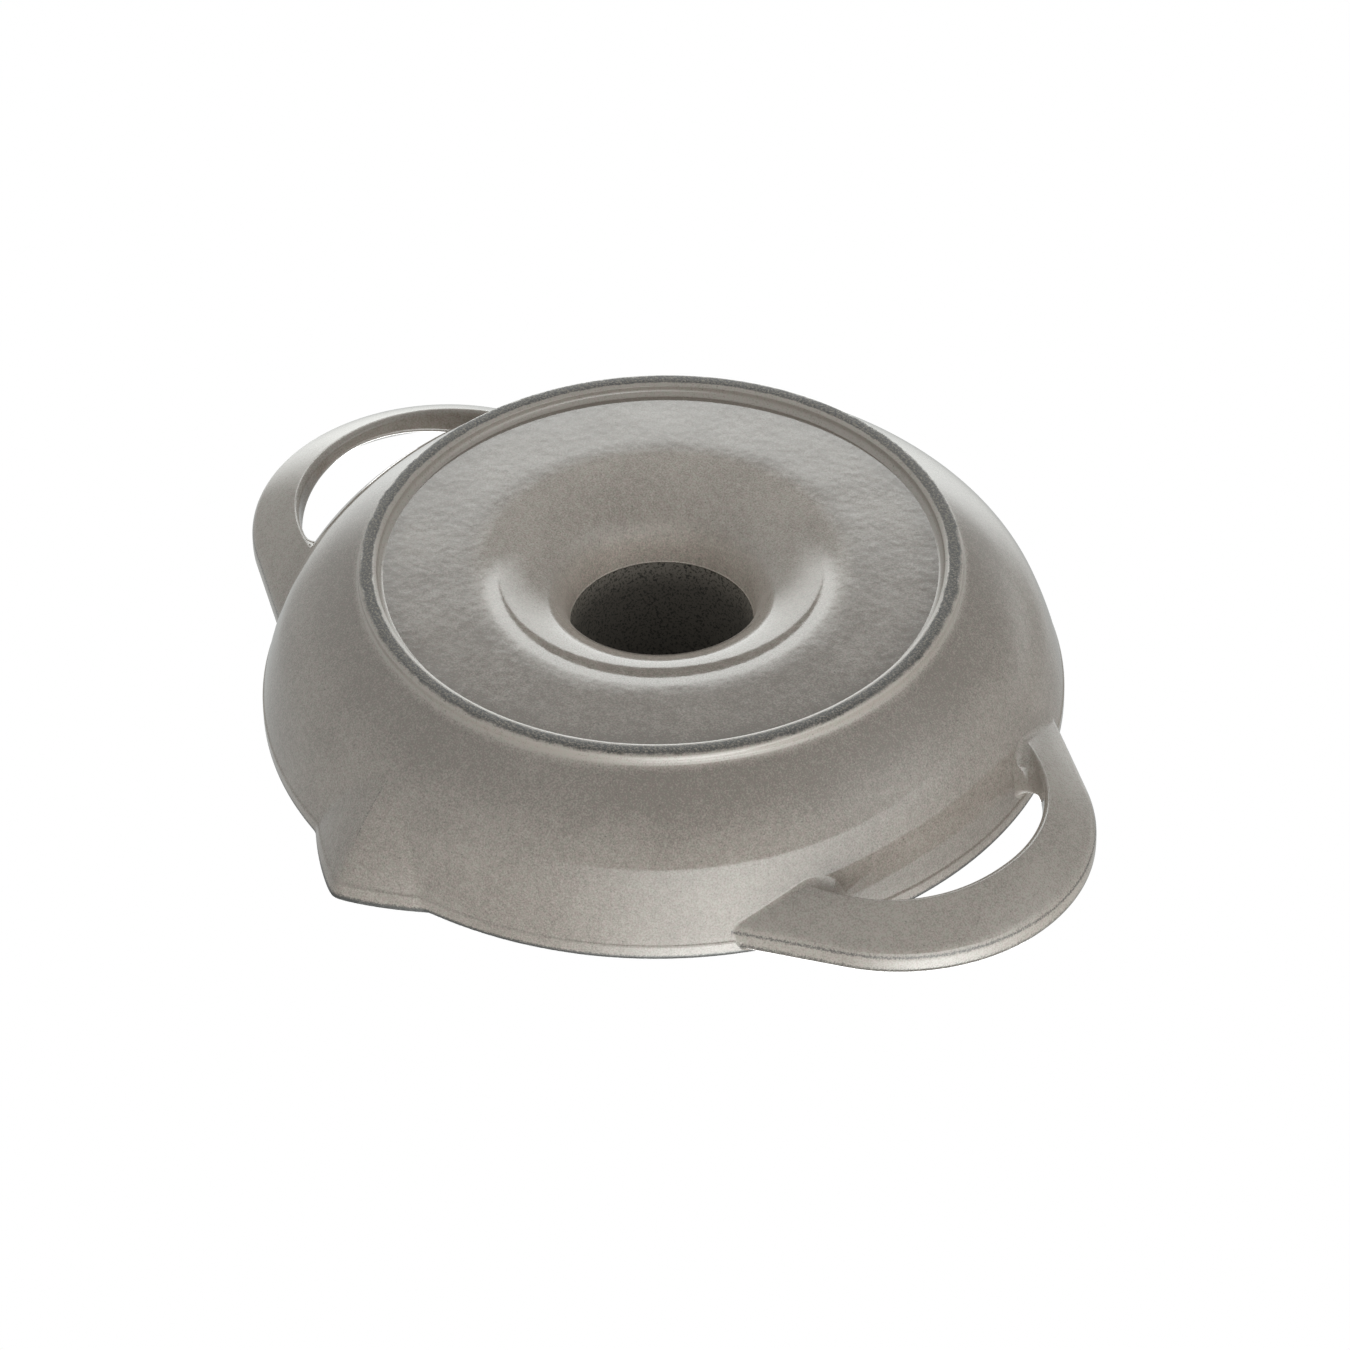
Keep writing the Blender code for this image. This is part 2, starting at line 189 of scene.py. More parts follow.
shoulder_arm = SHOULDER_ARM * (WALL_MID[0] - WALL_FOOT[0])
upper_arm = UPPER_ARM * (LIP_Z - WALL_MID[1])
wall_rows = joined(
    bezier(
        WALL_FOOT,
        ahead(WALL_FOOT, SHOULDER_SLOPE, SHOULDER_PULL * shoulder_arm),
        ahead(WALL_MID, MID_SLOPE, -shoulder_arm),
        WALL_MID,
        steps=44,
    ),
    bezier(
        WALL_MID,
        ahead(WALL_MID, MID_SLOPE, upper_arm),
        ahead(WALL_TOP, LIP_SLOPE, -upper_arm),
        WALL_TOP,
        steps=22,
    ),
)

inside_rows = offset_left(wall_rows, WALL)[::-1]
rim_in_r = inside_rows[0][0]
LIP_ARM, LIP_BEND, LIP_STRAIGHT = 0.25, LIP_Z + 0.6, LIP_Z + 1.1
lip_rows = joined(
    bezier(WALL_TOP, ahead(WALL_TOP, LIP_SLOPE, LIP_ARM), (RIM_R, LIP_BEND), (RIM_R, LIP_STRAIGHT), steps=8),
    straight((RIM_R, LIP_STRAIGHT), (RIM_R, RIM_Z - RIM_EDGE_R), step=0.4),
    arc((RIM_R - RIM_EDGE_R, RIM_Z - RIM_EDGE_R), RIM_EDGE_R, 0, 90, steps=10),
    straight((RIM_R - RIM_EDGE_R, RIM_Z), (rim_in_r + RIM_EDGE_R, RIM_Z), step=0.6),
    arc((rim_in_r + RIM_EDGE_R, RIM_Z - RIM_EDGE_R), RIM_EDGE_R, 90, 180, steps=8),
    straight((rim_in_r, RIM_Z - RIM_EDGE_R), inside_rows[0], step=0.8),
)

# The inside meets the floor in a round, which only the visual model has
FLOOR_ROUND, ROUND_TOP_ARM, ROUND_FLOOR_ARM, ROUND_SUPPORT = 3.6, 0.6, 0.4, 0.05
corner = inside_rows[-1]
floor_z = corner[1]
gone = np.cumsum(np.linalg.norm(np.diff(inside_rows[::-1], axis=0), axis=1))
cut_rows = int(np.argmax(gone > FLOOR_ROUND)) + 1
inside_rows = inside_rows[:-cut_rows]
round_top = inside_rows[-1]
round_way = (round_top - inside_rows[-2]) / np.linalg.norm(round_top - inside_rows[-2])
inside_rows = np.insert(inside_rows, -1, round_top - ROUND_SUPPORT * round_way, axis=0)
floor_rows = joined(
    bezier(
        round_top,
        round_top + ROUND_TOP_ARM * np.linalg.norm(corner - round_top) * round_way,
        (corner[0] - ROUND_FLOOR_ARM * FLOOR_ROUND, floor_z),
        (corner[0] - FLOOR_ROUND, floor_z),
        steps=16,
        near=0.01,
    ),
    straight((corner[0] - FLOOR_ROUND, floor_z), (FLARE_R, floor_z), step=1.6),
)


def spout_push(angle, z):
    """How far the spout moves the wall outwards, at degrees from its middle and at a height."""
    share = np.clip((z - SPOUT_LOW) / (RIM_Z - SPOUT_LOW), 0, None)
    flank = SPOUT_FLANK * np.sqrt(share)
    keel = SPOUT_KEEL_ROUND + (SPOUT_TIP_ROUND - SPOUT_KEEL_ROUND) * share
    peak = (SPOUT_REACH + SPOUT_FLANK * SPOUT_TIP_ROUND) * share
    soft = SPOUT_BASE_ROUND * share

    def height(a):
        level = peak - flank * np.hypot(a, keel)
        return 0.5 * (level + np.hypot(level, soft))

    return np.maximum(0.0, height(angle) - height(SPOUT_HALF))


# The spout reaches as far as the CAD model's
spout_reach = (CAD_BOX[1][1] - AXIS.y) / MM
tip_push = spout_push(0.0, lip_rows[:, 1])
SPOUT_FIT = float(np.min((spout_reach - lip_rows[:, 0]) / tip_push))

# ---------------------------------------------------------------- columns round the axis
# In degrees from the spout's middle
SPOUT_COLUMNS, PAN_COLUMNS = 61, 231
SEAM_SUPPORT = 0.06
NEAR_KEEL = (0.08, 0.18, 0.3)
columns = set(np.linspace(-SPOUT_SEAM, SPOUT_SEAM, SPOUT_COLUMNS))
columns |= set(np.linspace(SPOUT_SEAM, 360 - SPOUT_SEAM, PAN_COLUMNS)[1:-1])
for side in (-1, 1):
    columns |= {side * angle for angle in NEAR_KEEL}
    columns |= {side * SPOUT_SEAM - SEAM_SUPPORT, side * SPOUT_SEAM + SEAM_SUPPORT}
COLUMNS = np.array(sorted(columns))
TURNS = len(COLUMNS)
COL_LOW = int(np.argmin(np.abs(COLUMNS + SPOUT_SEAM)))
COL_HIGH = int(np.argmin(np.abs(COLUMNS - SPOUT_SEAM)))
ALL_COLS = list(range(TURNS))
SPOUT_COLS = list(range(COL_LOW, COL_HIGH))
OTHER_COLS = [c for c in ALL_COLS if c not in SPOUT_COLS]


def place(r, z, column, pushed):
    angle = COLUMNS[column % TURNS]
    out = r + (SPOUT_FIT * spout_push(angle, z) if pushed and abs(angle) < SPOUT_SEAM else 0.0)
    a = math.radians(angle)
    return (-out * math.sin(a), out * math.cos(a), z)


# The whole section as one list of rows, and the first and last row of each run
section, pushed_rows, runs = [], [], []
for rows, pushed in (
    (under_rows, False),
    (foot_rows, False),
    (wall_rows, True),
    (lip_rows, True),
    (inside_rows, True),
    (floor_rows, False),
):
    first = len(section) - 1 if section else 0
    for row in rows[1:] if section else rows:
        section.append(row)
        pushed_rows.append(pushed)
    runs.append((first, len(section) - 1))
section = np.array(section)
under, foot, wall, lip, inside, floor = runs
along_section = np.concatenate([[0], np.cumsum(np.linalg.norm(np.diff(section, axis=0), axis=1))])

# The black coat of the inside starts on the rim's outer edge
COAT_START_Z = 51.6
rim_edge_row = lip[0] + int(np.argmin(np.abs(section[lip[0]:lip[1], 1] - COAT_START_Z)))
coat_start = along_section[rim_edge_row]

# ---------------------------------------------------------------- mesh pieces
# Marks are distances in millimetres, and none shows as far off as this
FAR = 20.0
CROWN_WORN_IN, CROWN_WORN_OUT, CROWN_OUT_SOFT, CROWN_SIDE = 0.15, 0.45, 0.5, 0.75
KEEL_LOW, KEEL_HIGH, KEEL_COVER, KEEL_FADE = 24.0, 33.0, 0.4, 0.07


def finish_piece(name, points, faces, marks, material, replaces, sharp=50):
    """A closed piece from points in millimetres about the axis, with its shading marks."""
    mesh = bpy.data.meshes.new(name)
    mesh.from_pydata([Vector(p) * MM for p in points], [], faces)
    work = bmesh.new()
    work.from_mesh(mesh)
    bmesh.ops.recalc_face_normals(work, faces=work.faces)
    work.to_mesh(mesh)
    work.free()
    for mark, values in marks.items():
        layer = mesh.attributes.new(mark, "FLOAT", "POINT")
        layer.data.foreach_set("value", np.array(values, dtype=np.float32))
    mesh.shade_smooth()
    mesh.set_sharp_from_angle(angle=math.radians(sharp))
    mesh.materials.append(material)
    piece = bpy.data.objects.new(name, mesh)
    piece.location = AXIS
    bpy.context.scene.collection.objects.link(piece)
    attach(piece, "root")
    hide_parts(replaces)


def crown_depth(r, z):
    """How far a point lies inside the foot ring's worn crown."""
    if z >= CROWN_SIDE * FOOT_EDGE_R:
        return -1.0
    return min(r - crown_in - CROWN_WORN_IN, CROWN_OUT_SOFT * (crown_out + CROWN_WORN_OUT - r))


def keel_distance(row, column):
    """Distance from the sharp part of the spout's keel, where the glaze lies thin."""
    if not wall[0] <= row <= wall[1]:
        return FAR
    r, z = section[row]
    past_ends = max(0.0, KEEL_LOW - z, z - KEEL_HIGH)
    return KEEL_COVER + math.radians(abs(COLUMNS[column])) * r + KEEL_FADE * past_ends


class Skin:
    """Faces between rows and columns of the pan's section, gathered into one closed piece."""

    def __init__(self):
        self.keys = {}
        self.points, self.faces = [], []
        self.marks = {"coat": [], "crown": [], "thin": []}

    def vertex(self, row, column):
        key = (row, column % TURNS)
        if key not in self.keys:
            r, z = section[row]
            coat = along_section[row] - coat_start
            self.keys[key] = len(self.points)
            self.points.append(place(r, z, key[1], pushed_rows[row]))
            self.marks["coat"].append(coat)
            self.marks["crown"].append(crown_depth(r, z))
            self.marks["thin"].append(min(FAR, abs(coat), keel_distance(*key)))
        return self.keys[key]

    def face(self, *corners):
        self.faces.append([self.vertex(*corner) for corner in corners])

    def strip(self, row_a, row_b, columns):
        for c in columns:
            self.face((row_a, c), (row_b, c), (row_b, c + 1), (row_a, c + 1))

    def run(self, first, last, columns):
        for row in range(first, last):
            self.strip(row, row + 1, columns)

    def wall_end(self, side):
        """The wall's thickness beside the spout, between opposite rows of its outside and inside."""
        for k in range(wall[1] - spout_row):
            out, back = wall[1] - k, inside[0] + k
            self.face((out, side), (out - 1, side), (back + 1, side), (back, side))

    def lip_end(self, side):
        self.face(*[(row, side) for row in range(lip[0], lip[1] + 1)])

    def make(self, name, material, replaces):
        finish_piece(name, self.points, self.faces, self.marks, material, replaces)


# ---------------------------------------------------------------- node helpers
# Levels that a noise seldom leaves
NOISE_LEVELS = (0.3, 0.7)


class Tree:
    """A node tree with short calls for the nodes used here."""

    def __init__(self, tree):
        self.tree = tree
        tree.nodes.clear()

    def put(self, made, key, value):
        socket = made.inputs[key]
        if isinstance(value, bpy.types.NodeSocket):
            self.tree.links.new(value, socket)
        elif isinstance(value, bpy.types.Node):
            self.tree.links.new(value.outputs[0], socket)
        else:
            socket.default_value = value

    def add(self, kind, props=None, inputs=None):
        made = self.tree.nodes.new("ShaderNode" + kind)
        for key, value in (props or {}).items():
            setattr(made, key, value)
        for key, value in (inputs or {}).items():
            self.put(made, key, value)
        return made

    def math(self, operation, a, b=0.0, c=0.0):
        return self.add("Math", {"operation": operation}, {0: a, 1: b, 2: c}).outputs[0]

    def sum(self, total, *others):
        for value in others:
            total = self.math("ADD", total, value)
        return total

    def product(self, total, *others):
        for value in others:
            total = self.math("MULTIPLY", total, value)
        return total

    def minus(self, a, b):
        return self.math("SUBTRACT", a, b)

    def ramp(self, kind, value, low, high, out_low, out_high):
        ends = {"From Min": low, "From Max": high, "To Min": out_low, "To Max": out_high}
        return self.add("MapRange", {"interpolation_type": kind}, {"Value": value, **ends}).outputs[0]

    def step(self, value, low, high, out_low=0.0, out_high=1.0):
        return self.ramp("SMOOTHSTEP", value, low, high, out_low, out_high)

    def linear(self, value, low, high, out_low=0.0, out_high=1.0):
        return self.ramp("LINEAR", value, low, high, out_low, out_high)

    def sway(self, noise, amount):
        """A noise as a change of up to an amount either way."""
        return self.linear(noise, *NOISE_LEVELS, -amount, amount)

    def blend(self, factor, a, b):
        return self.add("Mix", {"data_type": "FLOAT"}, {0: factor, 2: a, 3: b}).outputs[0]

    def mix(self, factor, a, b, how="MIX"):
        a, b = ((*v, 1.0) if isinstance(v, tuple) else v for v in (a, b))
        return self.add("Mix", {"data_type": "RGBA", "blend_type": how}, {0: factor, 6: a, 7: b}).outputs[2]

    def dot(self, a, b):
        return self.add("VectorMath", {"operation": "DOT_PRODUCT"}, {0: a, 1: tuple(b)}).outputs["Value"]

    def noise(self, vector, scale, detail, rough):
        inputs = {"Vector": vector, "Scale": scale, "Detail": detail, "Roughness": rough}
        return self.add("TexNoise", None, inputs).outputs[0]

    def mark(self, name):
        return self.add("Attribute", {"attribute_name": name}).outputs["Fac"]


# ---------------------------------------------------------------- enamel
GREY_DARK = (0.208, 0.179, 0.156)
GREY_MID = (0.288, 0.251, 0.222)
GREY_LIGHT = (0.365, 0.326, 0.291)
TINT_COOL, TINT_WARM = (0.97, 1.015, 0.985), (1.03, 0.985, 1.0)
THIN_GREY = (0.050, 0.048, 0.045)
CROWN_DARK = (0.012, 0.010, 0.008)
CROWN_GRAIN = (0.205, 0.172, 0.132)
# The hollow's bare coat at its mouth, and the same coat with painted shade deeper in
HOLLOW_LIGHT = (0.270, 0.244, 0.212)
HOLLOW_SHADED = (0.150, 0.136, 0.118)
HOLLOW_SPECK = (0.032, 0.030, 0.027)
COAT_BLACK = (0.030, 0.029, 0.027)
COAT_GRAIN = (0.095, 0.091, 0.083)

# Each noise as its scale, detail and roughness
GRAIN, PATCH, CLOUD = (1900.0, 3.0, 0.65), (420.0, 2.0, 0.5), (38.0, 3.0, 0.5)
TINT, PEEL, SWELL = (900.0, 1.0, 0.5), (330.0, 1.0, 0.4), (55.0, 1.0, 0.4)
CROWN_SAND, CROWN_GRIT, CROWN_WEAR = (1500.0, 3.0, 0.7), (1150.0, 4.0, 0.8), (160.0, 2.0, 0.5)
COAT_SAND, HOLLOW_SAND = (1150.0, 3.0, 0.7), (1300.0, 3.0, 0.7)

# How rough each finish is, and how high its bumps stand as shares of the bumps' depth in metres
GLAZE_ROUGH, THROAT_ROUGH, HOLLOW_ROUGH = (0.05, 0.09), 0.5, 0.55
CROWN_ROUGH, COAT_ROUGH = 0.48, 0.42
PEEL_BUMP, SWELL_BUMP, GRAIN_BUMP = 0.22, 0.65, 0.05
CROWN_BUMP, COAT_BUMP, HOLLOW_BUMP = 1.1, 0.8, 1.0
BUMP_DEPTH = 0.00006
GLAZE_IOR = 1.78

GRAIN_LEVELS, TINT_LEVELS = (0.32, 0.68), (0.35, 0.65)
GRAIN_SHADE, PATCH_SHADE, CLOUD_SHADE = 0.55, 0.14, (0.34, 0.66)
PIN_SCALE, PIN_FEWNESS, PIN_SIZE, PIN_DARKNESS = 900.0, 0.94, (0.30, 0.12), 0.45
THIN_RAGGED, THIN_SOFT, THIN_DOTS, THIN_DARKNESS = 0.3, 0.33, (0.66, 0.46, 0.45, 1.0), 0.75
# Places without the grey glaze: how ragged their edges are, where they start, and the levels of their grain
CROWN_RAGGED, CROWN_WANDER, CROWN_START, CROWN_LEVELS = 0.3, 0.2, (-0.2, 0.25), (0.46, 0.60)
CROWN_EDGE, CROWN_EDGE_DARKNESS, GRIT_SHARE = (0.7, 0.2), 0.4, 0.6
COAT_RAGGED, COAT_START, COAT_LEVELS = 0.22, (-0.12, 0.18), (0.45, 0.72)
HOLLOW_RAGGED, HOLLOW_START, HOLLOW_LEVELS = 0.2, (-0.1, 0.2), (0.50, 0.40)
# The cone's glaze, by height in millimetres: where the throat turns matt and where painted light lifts its
# colour,
# and the depth in the hollow over which painted shade darkens the bare coat
THROAT_MATT, THROAT_PAINTED_LIGHT, HOLLOW_SHADE_DEPTH = (7.5, 13.5), (9.0, 22.0), 10.0
# How much paler the flare is, and how much painted light lifts the throat's colour
FLARE_GAIN, PAINTED_LIGHT_GAIN = 1.17, 1.75
# Painted light that leans across the flare, in object coordinates: lighter on one side than the other
PAINTED_LIGHT_LEAN = (-2.0, -1.85, 0.0)


def enamel(name, crown=False, coat=False, thin=0.0, hollow=False, lighter=None, spread=None):
    """Speckled grey glaze, with the worn, thin, black and bare places that a piece has, and some painted light
    and shade.

    lighter and spread each give two heights or radii, in millimetres, and the change of the glaze's shade at
    each of them. A hollow piece also needs spread.
    """
    material = bpy.data.materials.new(name)
    material.use_nodes = True
    t = Tree(material.node_tree)
    here = t.add("TexCoord").outputs["Object"]
    height_here = t.add("SeparateXYZ", None, {"Vector": here}).outputs["Z"]
    noises = (GRAIN, PATCH, CLOUD, TINT, PEEL, SWELL)
    grain, patch, cloud, tint, peel, swell = (t.noise(here, *noise) for noise in noises)

    # Grey glaze: fine grain, soft patches and slow clouds
    shade = t.sum(
        t.linear(grain, *GRAIN_LEVELS, -GRAIN_SHADE, GRAIN_SHADE),
        t.sway(patch, PATCH_SHADE),
        t.linear(cloud, *NOISE_LEVELS, *CLOUD_SHADE),
    )
    if lighter:
        start, end, share_start, share_end = lighter
        shade = t.sum(shade, t.step(height_here, start * MM, end * MM, share_start, share_end))
    if spread:
        start, end, share_start, share_end = spread
        level = t.add("VectorMath", {"operation": "MULTIPLY"}, {0: here, 1: (1.0, 1.0, 0.0)})
        radius = t.add("VectorMath", {"operation": "LENGTH"}, {0: level}).outputs["Value"]
        reached = t.step(radius, start * MM, end * MM)
        shade = t.sum(shade, t.linear(reached, 0.0, 1.0, share_start, share_end))
    colour = t.mix(t.step(shade, 0.0, 0.5), GREY_DARK, GREY_MID)
    colour = t.mix(t.step(shade, 0.5, 1.0), colour, GREY_LIGHT)
    colour = t.mix(1.0, colour, t.mix(t.linear(tint, *TINT_LEVELS), TINT_COOL, TINT_WARM), how="MULTIPLY")

    # Pin specks, few and dark
    cells = t.add("TexVoronoi", {"feature": "F1"}, {"Vector": here, "Scale": PIN_SCALE})
    pick = t.add("SeparateColor", None, {"Color": cells.outputs["Color"]}).outputs[0]
    pin = t.product(t.math("GREATER_THAN", pick, PIN_FEWNESS), t.step(cells.outputs["Distance"], *PIN_SIZE))
    colour = t.mix(t.product(pin, PIN_DARKNESS), colour, THIN_GREY)

    roughness = t.linear(patch, *NOISE_LEVELS, *GLAZE_ROUGH)
    height = t.sum(t.product(peel, PEEL_BUMP), t.product(swell, SWELL_BUMP), t.product(grain, GRAIN_BUMP))

    if thin:
        # Glaze that lies thin along an edge
        edge = t.sum(t.mark("thin"), t.sway(grain, THIN_RAGGED))
        line = t.step(edge, thin + THIN_SOFT, thin - THIN_SOFT)
        dots = t.step(grain, *THIN_DOTS)
        colour = t.mix(t.product(line, dots, THIN_DARKNESS), colour, THIN_GREY)
    if crown:
        # The foot's crown, rough and dark where it stands
        sand = t.noise(here, *CROWN_SAND)
        ragged = t.sum(
            t.mark("crown"),
            t.sway(sand, CROWN_RAGGED),
            t.sway(t.noise(here, *CROWN_WEAR), CROWN_WANDER),
        )
        worn = t.step(ragged, *CROWN_START)
        grit = t.sum(t.product(t.noise(here, *CROWN_GRIT), GRIT_SHARE), t.product(sand, 1 - GRIT_SHARE))
        bare = t.mix(t.step(grit, *CROWN_LEVELS), CROWN_DARK, CROWN_GRAIN)
        bare = t.mix(t.product(t.step(ragged, *CROWN_EDGE), CROWN_EDGE_DARKNESS), bare, CROWN_DARK)
        colour = t.mix(worn, colour, bare)
        roughness = t.blend(worn, roughness, CROWN_ROUGH)
        height = t.sum(height, t.product(worn, sand, CROWN_BUMP))
    if coat:
        # Matt black inside the pan
        sand = t.noise(here, *COAT_SAND)
        black = t.step(t.sum(t.mark("coat"), t.sway(sand, COAT_RAGGED)), *COAT_START)
        colour = t.mix(black, colour, t.mix(t.step(sand, *COAT_LEVELS), COAT_BLACK, COAT_GRAIN))
        roughness = t.blend(black, roughness, COAT_ROUGH)
        height = t.sum(height, t.product(black, sand, COAT_BUMP))
    if hollow:
        # Paler on the flare and matt in the throat, with painted light on both, and bare in the hollow above it
        matt, painted_throat_light = (t.step(height_here, low * MM, high * MM) for low, high in (THROAT_MATT, THROAT_PAINTED_LIGHT))
        roughness = t.blend(matt, roughness, THROAT_ROUGH)
        # Painted light: the flare's glaze leans lighter to one side, and the throat's colour is lifted
        flare_tone_and_light = t.math("MULTIPLY_ADD", t.sum(t.dot(here, PAINTED_LIGHT_LEAN), FLARE_GAIN - 1.0), reached, 1.0)
        tone_and_light_gain = t.product(flare_tone_and_light, t.linear(painted_throat_light, 0.0, 1.0, 1.0, PAINTED_LIGHT_GAIN))
        scaled = t.add("VectorMath", {"operation": "SCALE"}, {"Vector": colour, "Scale": tone_and_light_gain})
        colour = scaled.outputs["Vector"]
        sand = t.noise(here, *HOLLOW_SAND)
        depth = t.mark("hollow")
        bare = t.step(t.sum(depth, t.sway(sand, HOLLOW_RAGGED)), *HOLLOW_START)
        # Painted shade: the bare coat darkens with depth into the hollow
        shaded_coat = t.mix(t.step(depth, 0.0, HOLLOW_SHADE_DEPTH), HOLLOW_LIGHT, HOLLOW_SHADED)
        colour = t.mix(bare, colour, t.mix(t.step(sand, *HOLLOW_LEVELS), shaded_coat, HOLLOW_SPECK))
        roughness = t.blend(bare, roughness, HOLLOW_ROUGH)
        height = t.sum(height, t.product(bare, sand, HOLLOW_BUMP))

    bump = t.add("Bump", None, {"Strength": 1.0, "Distance": BUMP_DEPTH, "Height": height})
    shader = t.add("BsdfPrincipled", None, {"Base Color": colour, "Roughness": roughness, "Normal": bump})
    shader.inputs["IOR"].default_value = GLAZE_IOR
    t.add("OutputMaterial", None, {"Surface": shader})
    return material


# Painted shade: the base's glaze darkens towards the foot ring, in the corner beside it
BASE_ENAMEL_AND_SHADE = enamel("base_enamel", coat=True, spread=(77.0, 86.0, -0.25, -0.55))
FOOT_ENAMEL = enamel("foot_enamel", crown=True, lighter=(3.4, 5.6, 0.5, -0.35))
WALL_ENAMEL = enamel("wall_enamel", coat=True, lighter=(9.0, 20.0, -0.35, 0.0))
RIM_ENAMEL = enamel("rim_enamel", coat=True, thin=0.45)
CONE_ENAMEL_LIT_AND_SHADED = enamel("cone_enamel", coat=True, hollow=True, spread=(61.5, 54.5, -0.25, 0.0))
# Painted light: the handles' glaze is a lighter copy of the same enamel, equally lighter at every height
HANDLE_ENAMEL_LIT = enamel("handle_enamel", thin=0.38, lighter=(20.0, 30.0, 0.28, 0.28))

# ---------------------------------------------------------------- pan pieces
spout_row = wall[0] + int(np.argmax(section[wall[0]:wall[1], 1] > SPOUT_LOW)) - 1
spout_inside_row = inside[0] + (wall[1] - spout_row)

skin = Skin()
skin.run(*foot, ALL_COLS)
skin.strip(foot[1], foot[0], ALL_COLS)
skin.make("foot_ring_cast", FOOT_ENAMEL, "foot_ring")

skin = Skin()
skin.run(*under, ALL_COLS)
skin.run(*floor, ALL_COLS)
skin.strip(floor[1], under[0], ALL_COLS)
skin.strip(under[1], wall[0], ALL_COLS)
skin.strip(wall[0], floor[0], ALL_COLS)
skin.make("base_plate_cast", BASE_ENAMEL_AND_SHADE, "base_plate")

skin = Skin()
skin.run(wall[0], spout_row, ALL_COLS)
skin.run(spout_row, wall[1], OTHER_COLS)
skin.run(inside[0], spout_inside_row, OTHER_COLS)
skin.run(spout_inside_row, inside[1], ALL_COLS)
skin.strip(inside[1], wall[0], ALL_COLS)
skin.strip(wall[1], inside[0], OTHER_COLS)
skin.strip(spout_row, spout_inside_row, SPOUT_COLS)
for side in (COL_LOW, COL_HIGH):
    skin.wall_end(side)
skin.make("bowl_wall_cast", WALL_ENAMEL, "bowl_wall")

skin = Skin()
skin.run(*lip, OTHER_COLS)
skin.strip(lip[1], lip[0], OTHER_COLS)
for side in (COL_LOW, COL_HIGH):
    skin.lip_end(side)
skin.make("rim_lip_cast", RIM_ENAMEL, "rim_lip")

skin = Skin()
skin.run(spout_row, wall[1], SPOUT_COLS)
skin.run(*lip, SPOUT_COLS)
skin.run(inside[0], spout_inside_row, SPOUT_COLS)
skin.strip(spout_inside_row, spout_row, SPOUT_COLS)
for side in (COL_LOW, COL_HIGH):
    skin.wall_end(side)
    skin.lip_end(side)
skin.make("pour_spout_cast", RIM_ENAMEL, "pour_spout")

# ---------------------------------------------------------------- centre cone
# The flare's underside, as (radius, degrees of slope) from the base to the mouth
FLARE_SLOPES = (
    (66.0, 0.0), (63.5, 0.0), (61.0, 0.25), (58.5, 0.55), (57.0, 0.8), (56.0, 1.3), (54.5, 2.8),
    (52.3, 5.9), (47.2, 12.0), (43.0, 17.0), (39.0, 24.0), (36.5, 30.5), (34.0, 40.0), (32.2, 51.0),
    (30.7, 62.0), (29.8, 70.5), (29.2, 78.5), (28.9, 83.0),
)
FLARE_STEP, FLARE_SMOOTH = 0.2, 9
MOUTH_EDGE_R, MOUTH_EDGE_Z = 28.5, 24.4
mouth = np.array([MOUTH_EDGE_R, MOUTH_EDGE_Z])
slope_r, slope_deg = np.array(FLARE_SLOPES).T
slope_rad = np.radians(slope_deg)
gone = np.concatenate([[0], np.cumsum(-np.diff(slope_r) / np.cos((slope_rad[1:] + slope_rad[:-1]) / 2))])
slope = np.interp(np.arange(0, gone[-1], FLARE_STEP), gone, slope_rad)
padded = np.pad(slope, FLARE_SMOOTH // 2, mode="edge")
slope = np.convolve(padded, np.ones(FLARE_SMOOTH) / FLARE_SMOOTH, mode="valid")
flare_under = np.stack([
    FLARE_R - np.concatenate([[0], np.cumsum(np.cos(slope[1:]) * FLARE_STEP)]),
    FOOT_HEIGHT + np.concatenate([[0], np.cumsum(np.sin(slope[1:]) * FLARE_STEP)]),
], 1)

# The throat ends in a low bead round the mouth of the hollow
BEAD_TOP, ARM_BELOW_TOP, ARM_ABOVE_TOP = np.array([-0.16, 0.15]), 0.2, 0.25
BEAD_LEAD, LEAD_ARM, BEAD_TAIL, TAIL_ARM = 0.4, 0.1, 0.7, 0.3
upright = np.array([0.0, 1.0])
throat = flare_under[-1]
throat_way = (mouth - throat) / np.linalg.norm(mouth - throat)
bead_start, bead_top, bead_end = mouth - BEAD_LEAD * throat_way, mouth + BEAD_TOP, mouth + BEAD_TAIL * upright
flare_under = joined(
    flare_under,
    straight(throat, bead_start, step=0.8),
    bezier(bead_start, mouth - LEAD_ARM * throat_way, bead_top - ARM_BELOW_TOP * upright, bead_top, steps=6),
    bezier(bead_top, bead_top + ARM_ABOVE_TOP * upright, mouth + TAIL_ARM * upright, bead_end, steps=6),
)

flare_over = offset_left(
    bezier(
        (FLARE_R, FOOT_HEIGHT),
        (FLARE_R - FLARE_ARM, FOOT_HEIGHT),
        (MOUTH_R + FLARE_LEAN, FOOT_HEIGHT + FLARE_LIFT),
        (MOUTH_R, FOOT_HEIGHT + MOUTH_RISE),
        steps=60,
    ),
    -CONE_WALL,
)[::-1]
flare_over[-1] = (FLARE_R, floor_z)
flare_over[:, 1] = np.maximum(flare_over[:, 1], floor_z)

DOME_POINTS = 25


def dome(radius, top_z, flatness, start=0.0):
    t = np.linspace(start, math.pi / 2, DOME_POINTS)
    points = np.stack([radius * np.cos(t), top_z - flatness * radius * (1 - np.sin(t))], 1)
    points[-1, 0] = 0.0
    return points


